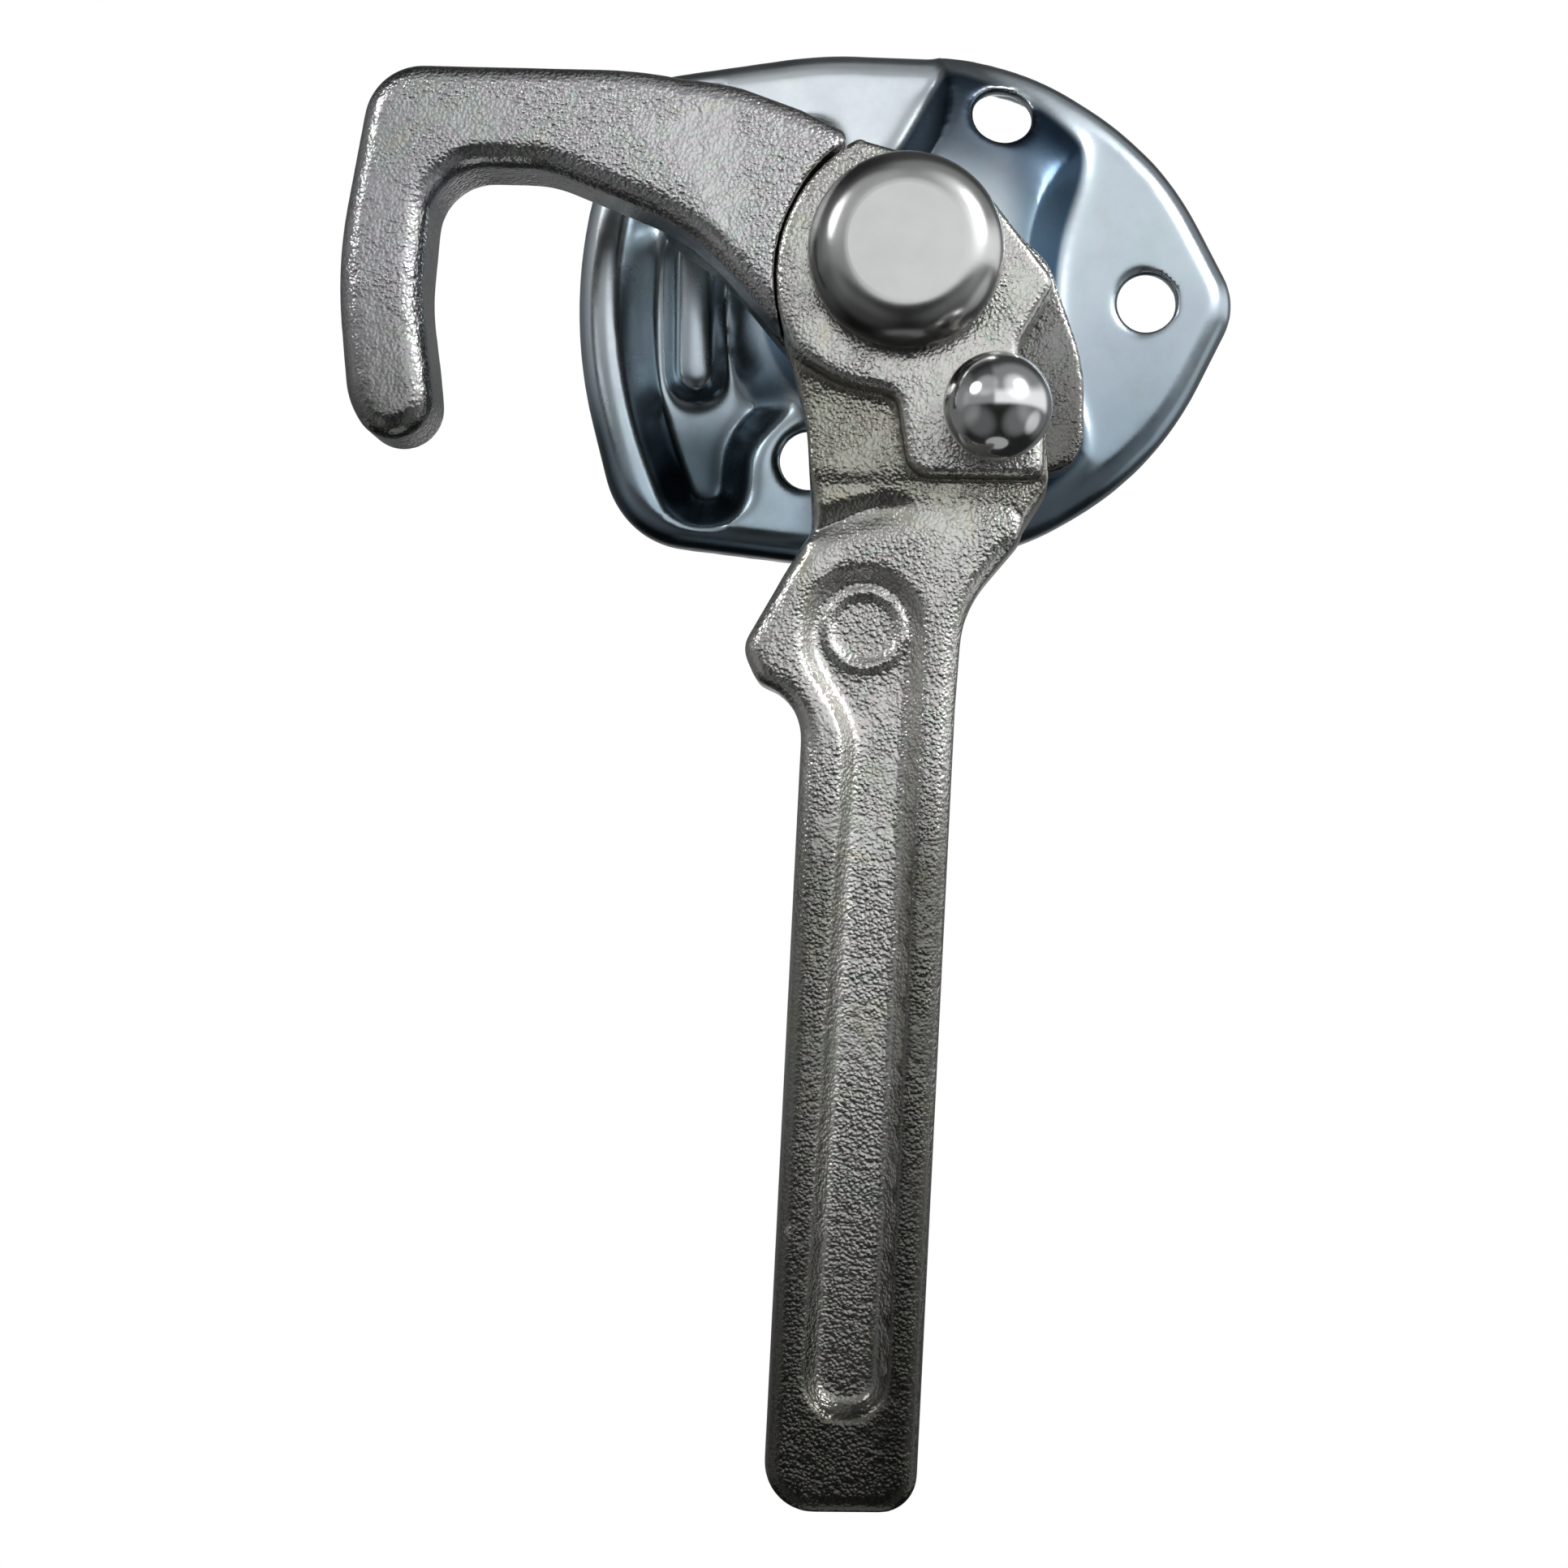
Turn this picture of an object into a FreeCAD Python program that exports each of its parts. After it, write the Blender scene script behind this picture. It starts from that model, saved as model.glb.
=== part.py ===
import FreeCAD, Part
import Sketcher

import math
import os

os.makedirs("parts", exist_ok=True)
doc = FreeCAD.newDocument("toggle_latch")
V = FreeCAD.Vector

# Sizes in millimetres and degrees. A name that ends in _level is a distance in front of
# the mounting plane, which is the XZ plane. The front of the latch looks along -Y, and
# the origin lies on the axis of the pivot pin.
SIZES = {
    # pressed backing plate
    "sheet": 3.0,
    "flange_level": 9.0,
    "lip_round": 4.0,
    "seat_rise": 6.5,
    "wall_slope": 40.0,
    "dome_flat": 19.0,
    "dome_round": 23.0,
    "pocket_depth": 6.0,
    "pocket_round": 1.2,
    "rib_rise": 4.0,
    "rib_slope": 25.0,
    "rib_width": 8.8,
    "rib_length": 27.0,
    "rib_offset": 30.4,
    "bolt_hole": 8.5,
    "seat_hole_x": 14.0,
    "seat_hole_z": 26.4,
    "heel_hole_x": 13.8,
    "heel_hole_z": 22.5,
    "toe_hole_x": 34.8,
    # levels of the stack on the pivot pin
    "washer_thick": 1.5,
    "washer_across": 24.0,
    "side_gap": 0.3,
    "hub_thick": 8.7,
    "head_thick": 13.7,
    # pivot pin
    "pin_across": 10.0,
    "pin_head": 26.0,
    "pin_head_high": 8.8,
    "pin_head_round": 5.4,
    "pin_head_edge": 0.8,
    "tail_across": 16.0,
    "tail_flat": 7.2,
    "tail_high": 3.6,
    "rear_washer_thick": 2.0,
    "rear_washer_across": 20.0,
    "turn_clearance": 0.05,
    # eccentric boss on the handle and the eye of the hook
    "boss_x": 3.6,
    "boss_z": -2.5,
    "boss_across": 22.0,
    "pad_wall": 9.9,
    "step_gap": 0.35,
    # handle
    "pad_round": 1.1,
    "neck_thick": 7.7,
    "neck_climb": 3.6,
    "neck_hollow": 1.0,
    "neck_length": 20.5,
    "brow_rise": 0.3,
    "brow_z": -29.5,
    "valley_width": 2.5,
    "grip_level": 36.7,
    "grip_thick": 12.2,
    "grip_round": 2.4,
    "channel_depth": 2.2,
    "channel_slope": 45.0,
    "ring_across": 11.2,
    "ring_width": 1.0,
    "ring_rise": 0.6,
    "ring_x": -5.6,
    "ring_z": -49.3,
    # ball pin on the lug
    "ball_across": 14.2,
    "ball_x": 11.8,
    "ball_z": -21.4,
    "ball_gap": 0.5,
    "ball_neck": 6.4,
    "ball_shank": 5.0,
    # hook
    "arm_thick": 15.0,
    "arm_round": 3.2,
    "arm_back_round": 2.6,
}

sheet = doc.addObject("Spreadsheet::Sheet", "sizes")
for row, (word, size) in enumerate(SIZES.items(), start=1):
    sheet.set("A%d" % row, word)
    sheet.set("B%d" % row, str(size))
    sheet.setAlias("B%d" % row, word)

DERIVED = {
    "pocket_floor": "flange_level - pocket_depth",
    "inner_level": "flange_level - sheet",
    "inner_floor": "pocket_floor - sheet",
    "rib_top": "pocket_floor + rib_rise",
    "seat_level": "flange_level + seat_rise",
    "washer_level": "seat_level + washer_thick",
    "hub_back": "washer_level + side_gap",
    "hub_front": "hub_back + hub_thick",
    "head_back": "hub_front + side_gap",
    "head_front": "head_back + head_thick",
    "neck_front": "head_back + neck_thick",
    "pin_under": "head_front + side_gap",
    "climb_level": "neck_front + neck_climb",
    "climb_z": "brow_z + neck_length",
    "hollow_level": "climb_level - neck_hollow",
    "hollow_z": "brow_z + neck_length / 2",
    "brow_level": "hollow_level + brow_rise",
    "valley_z": "brow_z - valley_width",
    "eye_across": "boss_across + 2 * turn_clearance",
    "pad_radius": "boss_across / 2 + pad_wall",
    "step_radius": "pad_radius + step_gap",
    "channel_floor": "grip_level - channel_depth",
    "seat_back": "seat_level - sheet",
    "tail_level": "seat_back - rear_washer_thick",
    "arm_back": "head_front - arm_thick",
}
for row, (word, rule) in enumerate(DERIVED.items(), start=len(SIZES) + 1):
    sheet.set("A%d" % row, word)
    sheet.set("B%d" % row, "=" + rule)
    sheet.setAlias("B%d" % row, word)
doc.recompute()


def val(word):
    return float(getattr(sheet, word))


def flat(x, z):
    return V(x, z, 0)


# Outlines are lists of corners (x, z, radius) seen from the front. Every corner with a
# radius becomes an arc that is tangent to both of its sides.
def mirrored(half):
    return half + [(x, -z, r) for x, z, r in reversed(half) if z != 0]


PLATE = mirrored([
    (-49.5, 0, 70),
    (-41.4, 33.4, 13),
    (-12.0, 37.3, 60),
    (15.0, 35.9, 38),
    (36.4, 23.5, 45),
    (48.3, 0, 9),
])
beyond = 2 * max(abs(x) for x, z, r in PLATE)
BAND = mirrored([
    (-21.5, 12.4, 21.4),
    (-1.8, 21.3, 7),
    (12.5, 46.0, 7.5),
    (24.6, 46.0, 7.5),
    (26.6, 19.0, 14),
    (20.2, 0, 40),
])
POCKET = mirrored([
    (-46.2, 0, 67),
    (-34.0, 32.6, 7),
    (-21.8, 32.6, 7),
    (-21.8, 21.0, 6),
    (-12.0, 11.0, 8),
])
ARM = [
    (-8.0, 17.2, 0),
    (-31.0, 25.9, 60),
    (-71.8, 27.3, 8.0),
    (-76.8, 0, 60),
    (-75.2, -18.5, 12),
    (-71.8, -24.0, 5.6),
    (-63.2, -22.7, 6.0),
    (-64.0, -13.5, 14),
    (-65.2, -4.0, 30),
    (-63.6, 13.4, 7.5),
    (-48.5, 12.9, 16),
    (-29.0, 4.6, 30),
    (-17.4, -8.6, 1.2),
    (-8.0, -6.0, 0),
]
HUB = [
    (-31.0, 24.4, 5),
    (-18.0, 21.0, 20),
    (-4.0, 15.6, 12),
    (8.5, 13.4, 12),
    (19.8, 2.0, 8),
    (24.6, -12.0, 24),
    (24.4, -26.0, 5),
    (16.0, -27.5, 5),
    (7.0, -18.6, 10),
    (-8.0, -18.0, 8),
    (-17.4, -8.6, 2),
    (-25.0, 0.9, 20),
    (-35.0, 8.0, 5),
]
NECK = [
    (-16.4, -9.8, 1.0),
    (-13.3, -22.0, 30),
    (-12.7, -36.0, 6),
    (-15.0, -40.0, 0),
    (13.0, -40.0, 0),
    (19.0, -30.8, 2),
    (18.6, -16.0, 0),
    (0.0, 0.0, 0),
]
GRIP = [
    (-13.3, -36.6, 3),
    (-4.6, -32.6, 9),
    (19.4, -32.6, 3.2),
    (7.6, -46.4, 16),
    (6.5, -60.0, 40),
    (1.0, -167.0, 5),
    (-19.4, -167.0, 6.5),
    (-14.0, -60.0, 9),
    (-17.6, -57.4, 3),
    (-20.2, -56.2, 2.5),
    (-22.2, -51.6, 3),
]
# The grip below the neck, where its back stands out a little further.
GRIP_BACK = [
    (-15.4, -40.0, 0),
    (11.6, -40.0, 0),
    *GRIP[3:],
]
CHANNEL = [
    (-14.4, -40.8, 8.7),
    (3.1, -40.8, 8.7),
    (-2.6, -154.6, 5.6),
    (-14.5, -154.6, 5.6),
    (-8.6, -63.0, 11),
    (-14.4, -53.4, 9),
]
PAD = [
    (-11.9, -15.8, 16),
    (-1.2, -18.4, 2.2),
    (0.4, -29.2, 3.4),
    (18.2, -29.5, 1.6),
    (18.2, -19.0, 5),
    (14.4, -12.6, 3),
    (19.9, -3.4, 2.2),
    (8.6, 11.6, 12),
]
PAD_ARC = (118.0, 206.0)


def corners_to_curves(corners):
    count = len(corners)
    points = [flat(x, z) for x, z, r in corners]
    sides = [points[(n + 1) % count].sub(points[n]) for n in range(count)]
    halves = [(-sides[n - 1]).getAngle(sides[n]) / 2 for n in range(count)]
    runs = [corners[n][2] / math.tan(halves[n]) for n in range(count)]
    ends = []
    for n in range(count):
        room = min(
            sides[n - 1].Length / max(runs[n - 1] + runs[n], 1e-9),
            sides[n].Length / max(runs[n] + runs[(n + 1) % count], 1e-9),
            1.0,
        )
        run = runs[n] * room
        radius = corners[n][2] * room
        back = (-sides[n - 1]).normalize()
        ahead = V(sides[n]).normalize()
        start = points[n].add(back.multiply(run))
        finish = points[n].add(ahead.multiply(run))
        towards = start.add(finish).multiply(0.5).sub(points[n])
        top = None
        if run > 0:
            towards.normalize()
            top = points[n].add(towards.multiply(radius / math.sin(halves[n]) - radius))
        ends.append((start, finish, top))
    curves = []
    for n in range(count):
        start, finish, top = ends[n]
        if top is not None:
            curves.append(Part.Arc(start, top, finish))
        follow = ends[(n + 1) % count][0]
        if finish.distanceToPoint(follow) > 1e-4:
            curves.append(Part.LineSegment(finish, follow))
    return curves


def lines(points):
    return [Part.LineSegment(points[n], points[n + 1]) for n in range(len(points) - 1)]


def grown(corners, distance):
    wire = Part.Wire([c.toShape() for c in corners_to_curves(corners)])
    ring = wire.makeOffset2D(distance, join=0)
    curves = []
    for edge in ring.OrderedEdges:
        first, last = edge.FirstParameter, edge.LastParameter
        a, b = edge.valueAt(first), edge.valueAt(last)
        if edge.Curve.TypeId == "Part::GeomCircle":
            curves.append(Part.Arc(a, edge.valueAt((first + last) / 2), b))
        else:
            curves.append(Part.LineSegment(a, b))
    return curves


def pad_curves():
    centre = flat(val("boss_x"), val("boss_z"))

    def on_arc(angle):
        turn = math.radians(angle)
        reach = val("pad_radius")
        return centre.add(flat(reach * math.cos(turn), reach * math.sin(turn)))

    first, last = PAD_ARC
    a, b = on_arc(first), on_arc(last)
    chain = corners_to_curves([(b.x, b.y, 0)] + PAD + [(a.x, a.y, 0)])[:-1]
    return [Part.Arc(a, on_arc((first + last) / 2), b)] + chain


def new_body(name, label):
    body = doc.addObject("PartDesign::Body", name)
    body.Label = label
    return body


def plane_of(body, role):
    return [f for f in body.Origin.OriginFeatures if f.Role == role][0]


def sketch_in(body, name, curves, level, role="XZ_Plane"):
    sketch = body.newObject("Sketcher::SketchObject", name)
    sketch.AttachmentSupport = [(plane_of(body, role), "")]
    sketch.MapMode = "FlatFace"
    if level:
        sketch.setExpression("AttachmentOffset.Base.z", "sizes." + level)
    sketch.addGeometry(curves, False)
    sketch.Visibility = False
    return sketch


def circle_in(body, name, x, z, across, level):
    curve = Part.Circle(flat(val(x) if x else 0, val(z) if z else 0), V(0, 0, 1), val(across) / 2)
    sketch = sketch_in(body, name, [curve], level)
    sketch.addConstraint(Sketcher.Constraint("Diameter", 0, val(across)))
    sketch.setExpression("Constraints[0]", "sizes." + across)
    return sketch


def pad_of(body, name, sketch, length, slope=None, back=False):
    pad = body.newObject("PartDesign::Pad", name)
    pad.Profile = sketch
    pad.setExpression("Length", length)
    if slope:
        pad.setExpression("TaperAngle", slope)
    pad.Reversed = back
    return pad


def pocket_of(body, name, sketch, length=None, slope=None, forward=False):
    pocket = body.newObject("PartDesign::Pocket", name)
    pocket.Profile = sketch
    pocket.Reversed = forward
    if length:
        pocket.setExpression("Length", length)
    else:
        pocket.Type = "ThroughAll"
    if slope:
        pocket.setExpression("TaperAngle", slope)
    return pocket


def round_edges(body, name, feature, radius, test):
    doc.recompute()
    chosen = []
    for number, edge in enumerate(feature.Shape.Edges, start=1):
        middle = edge.valueAt((edge.FirstParameter + edge.LastParameter) / 2)
        points = [middle] + [v.Point for v in edge.Vertexes]
        if all(test(p) for p in points):
            chosen.append("Edge%d" % number)
    fillet = body.newObject("PartDesign::Fillet", name)
    fillet.Base = (feature, chosen)
    fillet.setExpression("Radius", radius)
    return fillet


def at_level(word, keep=lambda p: True):
    level = val(word)
    return lambda p: abs(p.y + level) < 1e-4 and keep(p)


# The pressed plate is a solid form less a smaller core, and both come from one recipe.
# The inset is zero for the form and one sheet for the core.
DOME_TURN = 75.0


def pressed(word, inset):
    slope = math.radians(val("wall_slope"))
    shift = inset / math.cos(slope) - inset * math.tan(slope)
    run = val("pocket_depth") * math.tan(slope)
    level = "inner_level" if inset else "flange_level"
    floor = "inner_floor" if inset else "pocket_floor"

    def plate_outline():
        return grown(PLATE, -inset) if inset else corners_to_curves(PLATE)

    slab = new_body(word + "_slab", word + " slab")
    base = sketch_in(slab, word + "_outline", plate_outline(), None)
    front = pad_of(slab, word + "_blank", base, "sizes." + level)
    lip = "sizes.lip_round - sizes.sheet" if inset else "sizes.lip_round"
    round_edges(slab, word + "_lip", front, lip, at_level(level))

    band = new_body(word + "_band", word + " band")
    foot = sketch_in(band, word + "_foot", grown(BAND, run - shift), floor)
    rise = "sizes.seat_rise + sizes.pocket_depth"
    pad_of(band, word + "_ridge", foot, rise, "-sizes.wall_slope")
    trim = sketch_in(band, word + "_trim", plate_outline(), None)
    square = [flat(-beyond, -beyond), flat(beyond, -beyond), flat(beyond, beyond), flat(-beyond, beyond)]
    trim.addGeometry(lines(square + square[:1]), False)
    pocket_of(band, word + "_trimmed", trim, None, forward=True)

    ridge = val("seat_level") - inset
    start = val("dome_flat")
    drop = val("dome_round") - inset

    def on_dome(degrees):
        turn = math.radians(degrees)
        return V(drop * (1 - math.cos(turn)) - ridge, start + drop * math.sin(turn), 0)

    top = on_dome(0)
    end = on_dome(DOME_TURN)
    corners = [end, V(end.x, beyond, 0), V(-beyond, beyond, 0), V(-beyond, start, 0), top]
    curves = [Part.Arc(top, on_dome(DOME_TURN / 2), end)] + lines(corners)
    dome = sketch_in(band, word + "_dome", curves, None, "YZ_Plane")
    groove = band.newObject("PartDesign::Groove", word + "_domed")
    groove.Profile = dome
    groove.ReferenceAxis = (dome, ["H_Axis"])
    groove.Angle = 360

    pocket = new_body(word + "_pocket", word + " pocket")
    edge = grown(POCKET, shift) if inset else corners_to_curves(POCKET)
    mouth = sketch_in(pocket, word + "_mouth", edge, level)
    depth = "sizes.pocket_depth"
    hollow = pad_of(pocket, word + "_hollow", mouth, depth, "-sizes.wall_slope", back=True)
    if not inset:
        round_edges(pocket, word + "_floor", hollow, "sizes.pocket_round", at_level(floor))
    return slab, band, pocket


def fuse(name, shapes):
    joined = doc.addObject("Part::MultiFuse", name)
    joined.Shapes = shapes
    return joined


def cut(name, base, tool):
    less = doc.addObject("Part::Cut", name)
    less.Base = base
    less.Tool = tool
    return less


form_slab, form_band, form_pocket = pressed("form", 0.0)
core_slab, core_band, core_pocket = pressed("core", val("sheet"))


def slot_curves(x, length, width):
    half = length / 2 - width / 2
    r = width / 2
    return [
        Part.LineSegment(flat(x - r, -half), flat(x - r, half)),
        Part.Arc(flat(x - r, half), flat(x, half + r), flat(x + r, half)),
        Part.LineSegment(flat(x + r, half), flat(x + r, -half)),
        Part.Arc(flat(x + r, -half), flat(x, -half - r), flat(x - r, -half)),
    ]


rib = new_body("rib", "rib")
slot = slot_curves(-val("rib_offset"), val("rib_length"), val("rib_width"))
rib_sketch = sketch_in(rib, "rib_outline", slot, "pocket_floor")
rib_pad = pad_of(rib, "rib_pad", rib_sketch, "sizes.rib_rise", "-sizes.rib_slope")
round_edges(rib, "rib_round", rib_pad, "sizes.pocket_round", at_level("rib_top"))

dished = cut("dished_form", form_slab, form_pocket)
outer = fuse("outer_form", [dished, form_band, rib])
hollowed = cut("hollowed_core", core_slab, core_pocket)
inner = fuse("inner_core", [hollowed, core_band])
shell = cut("plate_shell", outer, inner)

holes = new_body("plate_holes", "plate holes")
spots = [
    (val("seat_hole_x"), val("seat_hole_z")),
    (val("seat_hole_x"), -val("seat_hole_z")),
    (-val("heel_hole_x"), val("heel_hole_z")),
    (-val("heel_hole_x"), -val("heel_hole_z")),
    (val("toe_hole_x"), 0),
]
hole_curves = [Part.Circle(flat(x, z), V(0, 0, 1), val("bolt_hole") / 2) for x, z in spots]
hole_curves.append(Part.Circle(flat(0, 0), V(0, 0, 1), val("pin_across") / 2))
hole_sketch = sketch_in(holes, "hole_outlines", hole_curves, None)
pad_of(holes, "hole_pins", hole_sketch, "sizes.head_front")
backing_plate = cut("backing_plate", shell, holes)


def turned_body(name, curves):
    body = new_body(name, name)
    sketch = sketch_in(body, name + "_profile", curves, None, "YZ_Plane")
    spin = body.newObject("PartDesign::Revolution", name + "_turned")
    spin.Profile = sketch
    spin.ReferenceAxis = (sketch, ["H_Axis"])
    spin.Angle = 360
    return body


def level_radius(level, radius):
    return V(-level, radius, 0)


# Pivot pin: flat-topped domed head, plain shank and a peened tail behind the seat.
shank = val("pin_across") / 2
head = val("pin_head") / 2
crown = head - val("pin_head_round")
under = val("pin_under")
top = under + val("pin_head_high")
wall = top - val("pin_head_round")
tail = val("tail_level")
tail_end = tail - val("tail_high")
tail_r = val("tail_across") / 2
tail_flat = val("tail_flat") / 2
diagonal = math.sqrt(0.5)


def quarter(level, radius, rise, reach):
    """A rounded corner from the flat end at level + rise down to the side at radius + reach."""
    middle = level_radius(level + rise * diagonal, radius + reach * diagonal)
    return Part.Arc(level_radius(level + rise, radius), middle, level_radius(level, radius + reach))


pivot_pin = turned_body("pivot_pin", [
    Part.LineSegment(level_radius(top, 0), level_radius(top, crown)),
    quarter(wall, crown, top - wall, head - crown),
    *lines([
        level_radius(wall, head),
        level_radius(under, head - val("pin_head_edge")),
        level_radius(under, shank),
        level_radius(tail, shank),
        level_radius(tail, tail_r),
    ]),
    quarter(tail, tail_flat, tail_end - tail, tail_r - tail_flat),
    *lines([level_radius(tail_end, tail_flat), level_radius(tail_end, 0), level_radius(top, 0)]),
])


def washer(name, bottom, thick, across):
    body = new_body(name, name)
    bore = shank + val("turn_clearance")
    rings = [Part.Circle(flat(0, 0), V(0, 0, 1), radius) for radius in (val(across) / 2, bore)]
    sketch = sketch_in(body, name + "_rings", rings, bottom)
    pad_of(body, name + "_disc", sketch, "sizes." + thick)
    return body


seat_washer = washer("seat_washer", "seat_level", "washer_thick", "washer_across")
rear_washer = washer("rear_washer", "tail_level", "rear_washer_thick", "rear_washer_across")

# Handle: sloped neck, head pad, grip with its long channel, and the eccentric boss behind.
handle = new_body("handle", "handle")
neck_sketch = sketch_in(handle, "neck_outline", corners_to_curves(NECK), "head_back")
pad_of(handle, "neck", neck_sketch, "sizes.climb_level - sizes.head_back")
SADDLE = [
    (-val("climb_level"), val("climb_z"), 0),
    (-val("hollow_level"), val("hollow_z"), 40),
    (-val("brow_level"), val("brow_z"), 3),
    (-val("neck_front"), val("valley_z"), 2),
    (-val("neck_front"), -beyond, 0),
    (-beyond, -beyond, 0),
    (-beyond, val("climb_z"), 0),
]
saddle_sketch = sketch_in(handle, "saddle_outline", corners_to_curves(SADDLE), None, "YZ_Plane")
saddle = pocket_of(handle, "saddle", saddle_sketch)
saddle.SideType = "Symmetric"
pad_sketch = sketch_in(handle, "pad_outline", pad_curves(), "head_back")
pad = pad_of(handle, "head_pad", pad_sketch, "sizes.head_thick")
round_edges(handle, "pad_edge", pad, "sizes.pad_round", at_level("head_front"))
grip_sketch = sketch_in(handle, "grip_outline", corners_to_curves(GRIP), "grip_level")
pad_of(handle, "grip", grip_sketch, "sizes.grip_level - sizes.head_back", back=True)
rear_sketch = sketch_in(handle, "grip_back_outline", corners_to_curves(GRIP_BACK), "grip_level")
grip_back = pad_of(handle, "grip_back", rear_sketch, "sizes.grip_thick", back=True)
round_edges(handle, "grip_edge", grip_back, "sizes.grip_round", at_level("grip_level"))
channel_sketch = sketch_in(handle, "channel_outline", corners_to_curves(CHANNEL), "grip_level")
pocket_of(handle, "channel", channel_sketch, "sizes.channel_depth", "-sizes.channel_slope")
ring_centre = flat(val("ring_x"), val("ring_z"))
ring_outer = val("ring_across") / 2
ring = [Part.Circle(ring_centre, V(0, 0, 1), r) for r in (ring_outer, ring_outer - val("ring_width"))]
ring_sketch = sketch_in(handle, "ring_outline", ring, "channel_floor")
pad_of(handle, "ring", ring_sketch, "sizes.ring_rise")
boss_sketch = circle_in(handle, "boss_outline", "boss_x", "boss_z", "boss_across", "hub_back")
pad_of(handle, "boss", boss_sketch, "sizes.head_back - sizes.hub_back + sizes.neck_thick / 2")
bores = [
    Part.Circle(flat(0, 0), V(0, 0, 1), shank + val("turn_clearance")),
    Part.Circle(flat(val("ball_x"), val("ball_z")), V(0, 0, 1), val("ball_shank") / 2),
]
bore_sketch = sketch_in(handle, "bores", bores, "hub_back")
pocket_of(handle, "bored", bore_sketch, None, forward=True)

# Ball pin: a ball on a short neck, riveted in the lug of the handle.
ball_r = val("ball_across") / 2
neck_r = val("ball_neck") / 2
stem_r = val("ball_shank") / 2
ball_level = val("head_front") + val("ball_gap") + ball_r
reach = math.sqrt(ball_r ** 2 - neck_r ** 2)
ball_pin = turned_body("ball_pin", [
    Part.Arc(
        level_radius(ball_level + ball_r, 0),
        level_radius(ball_level, ball_r),
        level_radius(ball_level - reach, neck_r),
    ),
    *lines([
        level_radius(ball_level - reach, neck_r),
        level_radius(val("head_front"), neck_r),
        level_radius(val("head_front"), stem_r),
        level_radius(val("head_back"), stem_r),
        level_radius(val("head_back"), 0),
        level_radius(ball_level + ball_r, 0),
    ]),
])
ball_pin.setExpression("Placement.Base.x", "sizes.ball_x")
ball_pin.setExpression("Placement.Base.z", "sizes.ball_z")

# Hook: a flat arm bent down at its end, on a hub with the eye for the boss.
hook = new_body("hook", "hook")
arm_sketch = sketch_in(hook, "arm_outline", corners_to_curves(ARM), "head_front")
arm = pad_of(hook, "arm", arm_sketch, "sizes.arm_thick", back=True)
root_x = ARM[0][0] - 0.1
root_z = ARM[0][1] - 0.2


def along_arm(point):
    return point.x < root_x or point.z > root_z


arm = round_edges(hook, "arm_front_edge", arm, "sizes.arm_round", at_level("head_front", along_arm))
round_edges(hook, "arm_back_edge", arm, "sizes.arm_back_round", at_level("arm_back", along_arm))
hub_sketch = sketch_in(hook, "hub_outline", corners_to_curves(HUB), "hub_back")
pad_of(hook, "hub", hub_sketch, "sizes.hub_thick")
step_curve = Part.Circle(flat(val("boss_x"), val("boss_z")), V(0, 0, 1), val("step_radius"))
step_sketch = sketch_in(hook, "step_outline", [step_curve], "head_front")
pocket_of(hook, "step", step_sketch, "sizes.head_front - sizes.hub_front")
eye_sketch = circle_in(hook, "eye_outline", "boss_x", "boss_z", "eye_across", "hub_back")
pocket_of(hook, "eye", eye_sketch, None, forward=True)

doc.recompute()

NODES = {
    "backing_plate": backing_plate,
    "pivot_pin": pivot_pin,
    "seat_washer": seat_washer,
    "rear_washer": rear_washer,
    "handle": handle,
    "ball_pin": ball_pin,
    "hook": hook,
}
faults = []
for thing in doc.Objects:
    if "Invalid" in thing.State or "Error" in thing.State:
        faults.append("%s is %s: %s" % (thing.Name, ", ".join(thing.State), thing.getStatusString()))
for node, thing in NODES.items():
    thing.Label = node
    shape = thing.Shape
    if shape.isNull() or not shape.isValid() or len(shape.Solids) != 1:
        faults.append("%s isn't one valid solid" % node)
if faults:
    raise RuntimeError("; ".join(faults))
for node, thing in NODES.items():
    thing.Shape.exportStep("parts/%s.step" % node)
    box = thing.Shape.BoundBox
    print(node, "%.1f cm3" % (thing.Shape.Volume / 1000), box)
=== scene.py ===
import math

import bpy
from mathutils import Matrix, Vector


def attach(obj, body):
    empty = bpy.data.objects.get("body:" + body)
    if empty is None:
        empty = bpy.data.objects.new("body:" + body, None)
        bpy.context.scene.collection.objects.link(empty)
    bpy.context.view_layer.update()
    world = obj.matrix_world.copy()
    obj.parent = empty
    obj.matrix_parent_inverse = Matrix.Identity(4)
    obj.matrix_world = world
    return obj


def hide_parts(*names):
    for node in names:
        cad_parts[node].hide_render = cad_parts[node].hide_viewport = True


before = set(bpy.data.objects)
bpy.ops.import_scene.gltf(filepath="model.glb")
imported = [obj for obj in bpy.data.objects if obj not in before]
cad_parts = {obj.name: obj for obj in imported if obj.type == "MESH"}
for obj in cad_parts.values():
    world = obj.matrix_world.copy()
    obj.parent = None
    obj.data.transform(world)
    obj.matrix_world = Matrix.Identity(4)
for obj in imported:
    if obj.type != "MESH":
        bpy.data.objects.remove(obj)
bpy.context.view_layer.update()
MM = 0.001


# Geometry

def mesh_from(piece):
    """The piece's mesh with its modifiers applied."""
    bpy.context.view_layer.update()
    shaped = piece.evaluated_get(bpy.context.evaluated_depsgraph_get())
    mesh = bpy.data.meshes.new_from_object(shaped)
    piece.modifiers.clear()
    piece.data = mesh
    mesh.name = piece.name
    return mesh


def inside(value, low, high, fade):
    """1 between low and high, falling to 0 over the fade outside them."""
    out = max(low - value, value - high, 0.0)
    return max(0.0, 1.0 - out / fade)


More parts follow.
